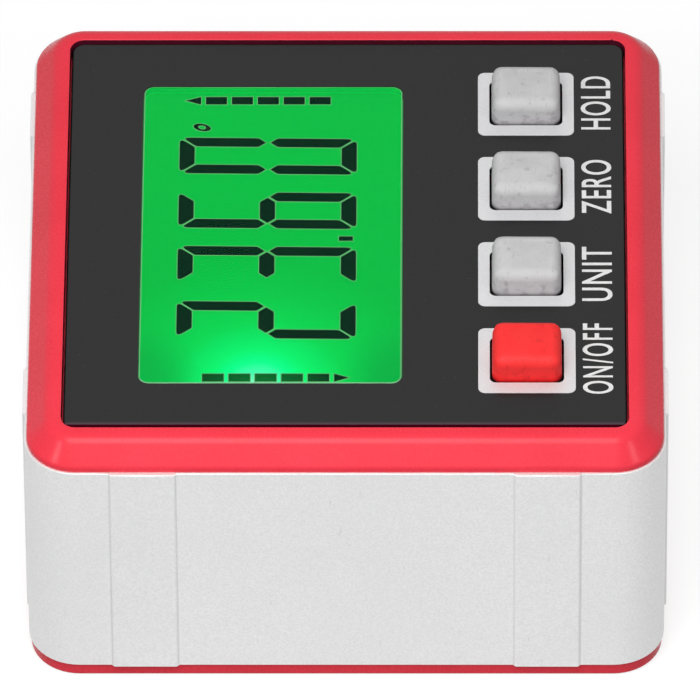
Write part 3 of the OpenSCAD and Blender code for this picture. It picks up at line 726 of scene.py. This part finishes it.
def disc(middle, size, corners, turn=0, wall=None, lean=0):
    """A flat shape of this many corners, or a ring, in a box of size (along x, along y).

    It is turned by so many degrees first, and leans last.
    """
    bm = bmesh.new()
    made = bmesh.ops.create_circle(bm, cap_ends=True, segments=corners, radius=0.5 * MM)["verts"]
    bmesh.ops.rotate(bm, verts=made, cent=(0, 0, 0), matrix=Matrix.Rotation(math.radians(turn), 3, "Z"))
    spans = [(min(v.co[k] for v in made), max(v.co[k] for v in made)) for k in (0, 1)]
    if wall:
        inner = list(bm.faces)
        bmesh.ops.inset_region(bm, faces=inner, thickness=wall * MM, use_boundary=True,
                               use_even_offset=True)
        bmesh.ops.delete(bm, geom=inner, context="FACES")
    bmesh.ops.translate(bm, verts=bm.verts, vec=(-sum(spans[0]) / 2, -sum(spans[1]) / 2, 0))
    fit = [s * MM / (hi - lo) for s, (lo, hi) in zip(size, spans)]
    bmesh.ops.scale(bm, verts=bm.verts, vec=(*fit, 1))
    bmesh.ops.transform(bm, verts=bm.verts, matrix=shear(lean))
    lay(bm, middle)


disc((-14.64, RIGHT_ROW), (1.73, HEAD_H), 3, 90)
disc((-0.295, LEFT_ROW), (1.65, HEAD_H), 3, -90)
disc(RING_SPOT, RING_SIZE, RING_CORNERS, wall=RING_WALL, lean=RING_LEAN)
bmesh.ops.translate(segments, verts=segments.verts, vec=(0, 0, (glass_top + FILM_LIFT) * MM))
make_piece("display_segments", segments, [ink, rim_light], "case")

# %% [markdown]
# ## Silver borders
# Each key sits in a frame printed in silver ink, a thin flat layer with a fine metallic sparkle. A copy
# of the CAD node has the shape, and its openings are fitted to the keys as the panel's are.

# %% Silver ink
silver_ink, shader = finish("silver_ink", 0.5, {"Metallic": 0.35})
sparkle = grain(silver_ink, 0.12, 2)
cloud = grain(silver_ink, 3, 2)
colour = mixed(silver_ink, swing(silver_ink, sparkle), (0.66, 0.66, 0.67), (0.76, 0.76, 0.77))
colour = mixed(silver_ink, ranged(silver_ink, cloud, 0.4, 0.7, 0, 0.15), colour, (0.8, 0.8, 0.81))
feed(silver_ink, shader, colour=colour, roughness=swing(silver_ink, sparkle, 0.42, 0.58))
bm = merged_copy("key_borders")
fit_openings(bm)
make_piece("border_prints", bm, [silver_ink], "case", ["key_borders"])

# %% [markdown]
# ## The rubber keys
# A key is one piece of moulded silicone: a crowned cap, a flange under the panel that keeps it in, and
# a tapered stem that presses the switch. Starting from the flange, an inset and an extrusion raise the
# cap and lower the stem, so the key stays one closed skin. The cap's front stands back a little in its
# opening. A few small insets, each raised less than the one before, make the crown; the back edge
# stands a little higher than the front one, and the corners and top edges get wide bevels.
#
# The finish is matt and a little blotched, as silicone collects dust. Each cap darkens towards its foot
# by its height above the panel, where dark flecks also gather more thickly, and what lies below the
# panel is painted shade, nearly black.

# %% Rubber finishes
FOOT_DARK_H, FOOT_DARK_SHARE, DIRT_SPOTS = 2, 0.6, 0.14
PIT_DEPTH = 0.3
PIT_SHADE = (0.01, 0.008, 0.008)


def rubber(name, pale, dark, foot_tone, fleck):
    """Matt silicone with soft blotches, short scuffs, fine dark spots, a darker foot, and painted shade
    below the panel.
    """
    mat, shader = finish(name, 0.62, {"Specular IOR Level": 0.3})
    blotch = grain(mat, 1.6, 3)
    fine = grain(mat, 0.2, 2)
    scuff = grain(mat, 0.5, 3, (0.35, 1.8, 1), (1, 4, 2))
    spots = grain(mat, 0.7, 5, (1, 1, 1), (5, 2, 8))
    height = axes_of(mat, (0, 0, face_z))[2]
    low = ranged(mat, height, 0, FOOT_DARK_H, 1, 0)
    soiled = sums(mat, "ADD", spots, sums(mat, "MULTIPLY", low, DIRT_SPOTS))
    colour = mixed(mat, swing(mat, blotch), pale, dark)
    # darker towards the panel's face
    colour = mixed(mat, sums(mat, "MULTIPLY", low, FOOT_DARK_SHARE), colour, foot_tone)
    colour = mixed(mat, ranged(mat, scuff, 0.62, 0.72, 0, 0.28), colour, fleck)
    colour = mixed(mat, ranged(mat, soiled, 0.6, 0.76, 0, 0.5), colour, fleck)
    # painted shade: below the panel's face the key goes nearly black, as little light reaches into the
    # well
    colour = mixed(mat, ranged(mat, height, -PIT_DEPTH, 0, 1, 0), colour, PIT_SHADE)
    feed(mat, shader, colour=colour, roughness=swing(mat, fine, 0.54, 0.7),
         bump=relief(mat, fine, 0.012))
    return mat


grey_rubber = rubber("grey_silicone", (0.61, 0.61, 0.61), (0.55, 0.545, 0.555), (0.4, 0.38, 0.4),
                     (0.24, 0.22, 0.24))
red_rubber = rubber("red_silicone", (0.96, 0.037, 0.037), (0.93, 0.03, 0.031), (0.9, 0.004, 0.006),
                    (0.6, 0.01, 0.012))
print("rubber:", grey_rubber.name, red_rubber.name)

# %% Keys
FLANGE_T, FLANGE_REACH = 0.8, 0.9
STEM_D = 4.2
CAP_LEAN = 0.12
CAP_EDGE, CAP_STEPS = 0.95, 8
FRONT_TRIM = 0.2
BACK_LIFT = 0.28
CROWN_RINGS = ((1.1, 0.18), (0.5, 0.06), (0.4, 0.04), (0.35, 0.01))
SEAT_TO_FLANGE = 0.1


def make_key(name, mat):
    """A key in the space of its CAD node, made in millimetres and scaled at the end."""
    lo, hi = (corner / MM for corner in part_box(name))
    flange_top = seat_z - SEAT_TO_FLANGE
    bm = bmesh.new()
    bmesh.ops.create_cube(bm, size=1)
    bmesh.ops.scale(bm, verts=bm.verts, vec=(hi.x - lo.x, hi.y - lo.y, FLANGE_T))
    middle = Vector(((lo.x + hi.x) / 2, (lo.y + hi.y) / 2, flange_top - FLANGE_T / 2))
    bmesh.ops.translate(bm, verts=bm.verts, vec=middle)
    top = max(bm.faces, key=lambda f: f.normal.z)
    base = min(bm.faces, key=lambda f: f.normal.z)

    bmesh.ops.inset_region(bm, faces=[top], thickness=FLANGE_REACH, use_even_offset=True)
    cap = bmesh.ops.extrude_discrete_faces(bm, faces=[top])["faces"][0]
    crown = sum(rise for _, rise in CROWN_RINGS)
    bmesh.ops.translate(bm, verts=cap.verts, vec=(0, 0, hi.z - crown - flange_top))
    sides = [hi[k] - lo[k] - 2 * FLANGE_REACH for k in (0, 1)]
    lean = [1 - 2 * CAP_LEAN / side for side in sides]
    bmesh.ops.scale(bm, verts=cap.verts, vec=(*lean, 1), space=Matrix.Translation(-middle))
    for v in bm.verts:
        if v.co.z > flange_top - TOUCH and lo.y + FLANGE_REACH / 2 < v.co.y < middle.y:
            v.co.y += FRONT_TRIM
    for width, rise in CROWN_RINGS:
        bmesh.ops.inset_region(bm, faces=[cap], thickness=width, use_even_offset=True)
        bmesh.ops.translate(bm, verts=cap.verts, vec=(0, 0, rise))
    for v in bm.verts:
        if v.co.y > middle.y + sides[1] / 2 - 2 * CAP_LEAN and v.co.z > face_z:
            v.co.z += BACK_LIFT

    bmesh.ops.inset_region(bm, faces=[base], thickness=FLANGE_REACH, use_even_offset=True)
    stem = bmesh.ops.extrude_discrete_faces(bm, faces=[base])["faces"][0]
    for v in stem.verts:
        for k in (0, 1):
            v.co[k] = middle[k] + math.copysign(STEM_D / 2, v.co[k] - middle[k])
        v.co.z += lo.z - (flange_top - FLANGE_T)

    bmesh.ops.scale(bm, verts=bm.verts, vec=(MM, MM, MM))
    soften(bm, sharp_edges(bm, lambda p: p.z > flange_top + TOUCH), CAP_EDGE, CAP_STEPS)
    make_piece(name + "_rubber", bm, [mat], name, [name])


for key_name in ("hold_key", "zero_key", "unit_key"):
    make_key(key_name, grey_rubber)
make_key("power_key", red_rubber)

# %% [markdown]
# ## Key legends
# White words beside the keys say what each does. They are plain function words, printed in a narrow
# sans serif. Blender's own letters are wider, so each word becomes a mesh first and is then scaled into
# the space that its print takes on the panel, turned to read along +Y.

# %% White legends
LEGEND_X = (22.03, 24.86)
LEGENDS = (("HOLD", 14.2, 21.5, 1.13), ("ZERO", 2.7, 10.0, 1.13), ("UNIT", -9.12, -1.83, 1.13),
           ("ON/OFF", -21.52, -12.15, 1.22))
INK_FILM = 0.02
LETTER_WEIGHT, LETTER_MERGE = 0.008, 1e-5

white_ink, shader = finish("white_ink", 0.45)
worn = grain(white_ink, 0.5, 3)
feed(white_ink, shader, colour=mixed(white_ink, ranged(white_ink, worn, 0.3, 0.6, 0, 1),
                                     (0.74, 0.74, 0.74), (0.84, 0.84, 0.84)))


def legend(word, y0, y1, spacing):
    """A printed word between y0 and y1, with the letters' feet towards +X."""
    text = bpy.data.curves.new(word, "FONT")
    text.body = word
    text.space_character = spacing
    text.offset = LETTER_WEIGHT
    drawn = bpy.data.objects.new(word, text)
    bpy.context.scene.collection.objects.link(drawn)
    bpy.context.view_layer.update()
    shaped = drawn.evaluated_get(bpy.context.evaluated_depsgraph_get())
    flat = bpy.data.meshes.new_from_object(shaped)
    bpy.data.objects.remove(drawn)
    bm = bmesh.new()
    bm.from_mesh(flat)
    bpy.data.meshes.remove(flat)
    bmesh.ops.remove_doubles(bm, verts=bm.verts, dist=LETTER_MERGE)
    quarter = Matrix.Rotation(math.radians(90), 3, "Z")
    bmesh.ops.rotate(bm, verts=bm.verts, cent=(0, 0, 0), matrix=quarter)
    for axis, (near, far) in enumerate((LEGEND_X, (y0, y1))):
        low = min(v.co[axis] for v in bm.verts)
        high = max(v.co[axis] for v in bm.verts)
        for v in bm.verts:
            v.co[axis] = (near + (v.co[axis] - low) / (high - low) * (far - near)) * MM
    for v in bm.verts:
        v.co.z = face_z * MM
    make_film(bm, INK_FILM)
    name = "legend_" + "".join(c for c in word if c.isalpha()).lower()
    make_piece(name, bm, [white_ink], "case")


for printed in LEGENDS:
    legend(*printed)

# %% [markdown]
# ## Magnets and screws
# Two nickel-plated magnets sit in the base and four cross-head screws in the back. Both are turned or
# headed parts with broken edges, so copies of their CAD nodes get narrow bevels and a metal finish.

# %% Metal parts
MAGNET_EDGE = 0.2
HEAD_EDGE, HEAD_ANGLE = 0.12, 60
PLATED = {"Metallic": 1}


def clouded(name, pale, dark, roughness, blot, spread, settings=None):
    """A finish with a faint cloud in its colour and in its roughness, which spreads (down, up)."""
    mat, shader = finish(name, roughness, settings)
    cloud = grain(mat, blot, 3)
    feed(mat, shader, colour=mixed(mat, swing(mat, cloud), pale, dark),
         roughness=swing(mat, cloud, roughness - spread[0], roughness + spread[1]))
    return mat


nickel = clouded("nickel_plate", (0.70, 0.68, 0.65), (0.66, 0.64, 0.61), 0.26, 5, (0.06, 0.08), PLATED)
steel = clouded("zinc_steel", (0.66, 0.67, 0.69), (0.55, 0.56, 0.58), 0.34, 0.8, (0.06, 0.08), PLATED)

magnet_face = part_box("base_magnets")[1].x / MM
bm = merged_copy("base_magnets")
soften(bm, sharp_edges(bm, lambda p: abs(p.x - magnet_face) < TOUCH), MAGNET_EDGE)
make_piece("magnet_discs", bm, [nickel], "case", ["base_magnets"])

head_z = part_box("case_screws")[0].z / MM
bm = merged_copy("case_screws")
soften(bm, sharp_edges(bm, level(head_z), HEAD_ANGLE), HEAD_EDGE)
make_piece("screw_heads", bm, [steel], "case", ["case_screws"])

# %% [markdown]
# ## Pieces inside the case
# The board, switches, cells and leads only show when the battery door is open or in a cut-away, but a
# part that is used again should not have blank insides. One function gives each its colour with a
# slight unevenness, and the cells get a sleeve of two colours, split along their length.

# %% Inner finishes
CLOUD_SHADE = 0.8
INNER = {
    "panel_tape": ("adhesive_sheet", (0.02, 0.02, 0.02)),
    "light_holder": ("white_tray", (0.75, 0.75, 0.72)),
    "light_guide": ("guide_acrylic", (0.7, 0.9, 0.75)),
    "backlight_led": ("lamp_body", (0.1, 0.8, 0.3)),
    "zebra_strip": ("elastomer_strip", (0.7, 0.22, 0.22)),
    "main_board": ("board_resist", (0.01, 0.14, 0.05)),
    "controller_chip": ("chip_resin", (0.015, 0.015, 0.016)),
    "tilt_sensor": ("sensor_resin", (0.03, 0.03, 0.032)),
    "filter_capacitor": ("capacitor_resin", (0.55, 0.35, 0.06)),
    "key_switches": ("switch_resin", (0.02, 0.02, 0.022)),
    "red_lead": ("red_insulation", (0.6, 0.02, 0.02)),
    "black_lead": ("black_insulation", (0.015, 0.015, 0.015)),
}


def moulded(name, colour):
    """Plastic, paint or rubber with a faint cloud in its colour."""
    return clouded(name, colour, [c * CLOUD_SHADE for c in colour], 0.5, 1.5, (0.05, 0.08))


for name, (finish_name, colour) in INNER.items():
    dress(name, moulded(finish_name, colour))
plunger_ivory = moulded("plunger_nylon", (0.75, 0.73, 0.66))
for key_name in ("hold", "zero", "unit", "power"):
    dress(key_name + "_plunger", plunger_ivory)
for name in ("clock_crystal", "board_screws", "bridge_contact", "positive_contact", "negative_contact"):
    dress(name, steel)
print("inner finishes:", len(INNER))

# %% Battery cells
SLEEVE_SPLIT, BAND_BLUR = 8, 0.05


def sleeve(name, split_y, sign):
    """A cell's printed sleeve: dark, with a copper band at its positive end."""
    mat, shader = finish(name, 0.3, {"Metallic": 0.6})
    along = axes_of(mat, (0, split_y, 0))[1]
    dark = mixed(mat, swing(mat, grain(mat, 2)), (0.012, 0.012, 0.014), (0.02, 0.02, 0.023))
    band = ranged(mat, along, -BAND_BLUR * sign, BAND_BLUR * sign, 0, 1)
    feed(mat, shader, colour=mixed(mat, band, dark, (0.6, 0.3, 0.12)))
    return mat


for name, sign in (("cell_a", 1), ("cell_b", -1)):
    lo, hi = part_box(name)
    end = (hi.y if sign > 0 else lo.y) / MM
    dress(name, sleeve(name + "_sleeve", end - sign * SLEEVE_SPLIT, sign))
print("cells dressed")
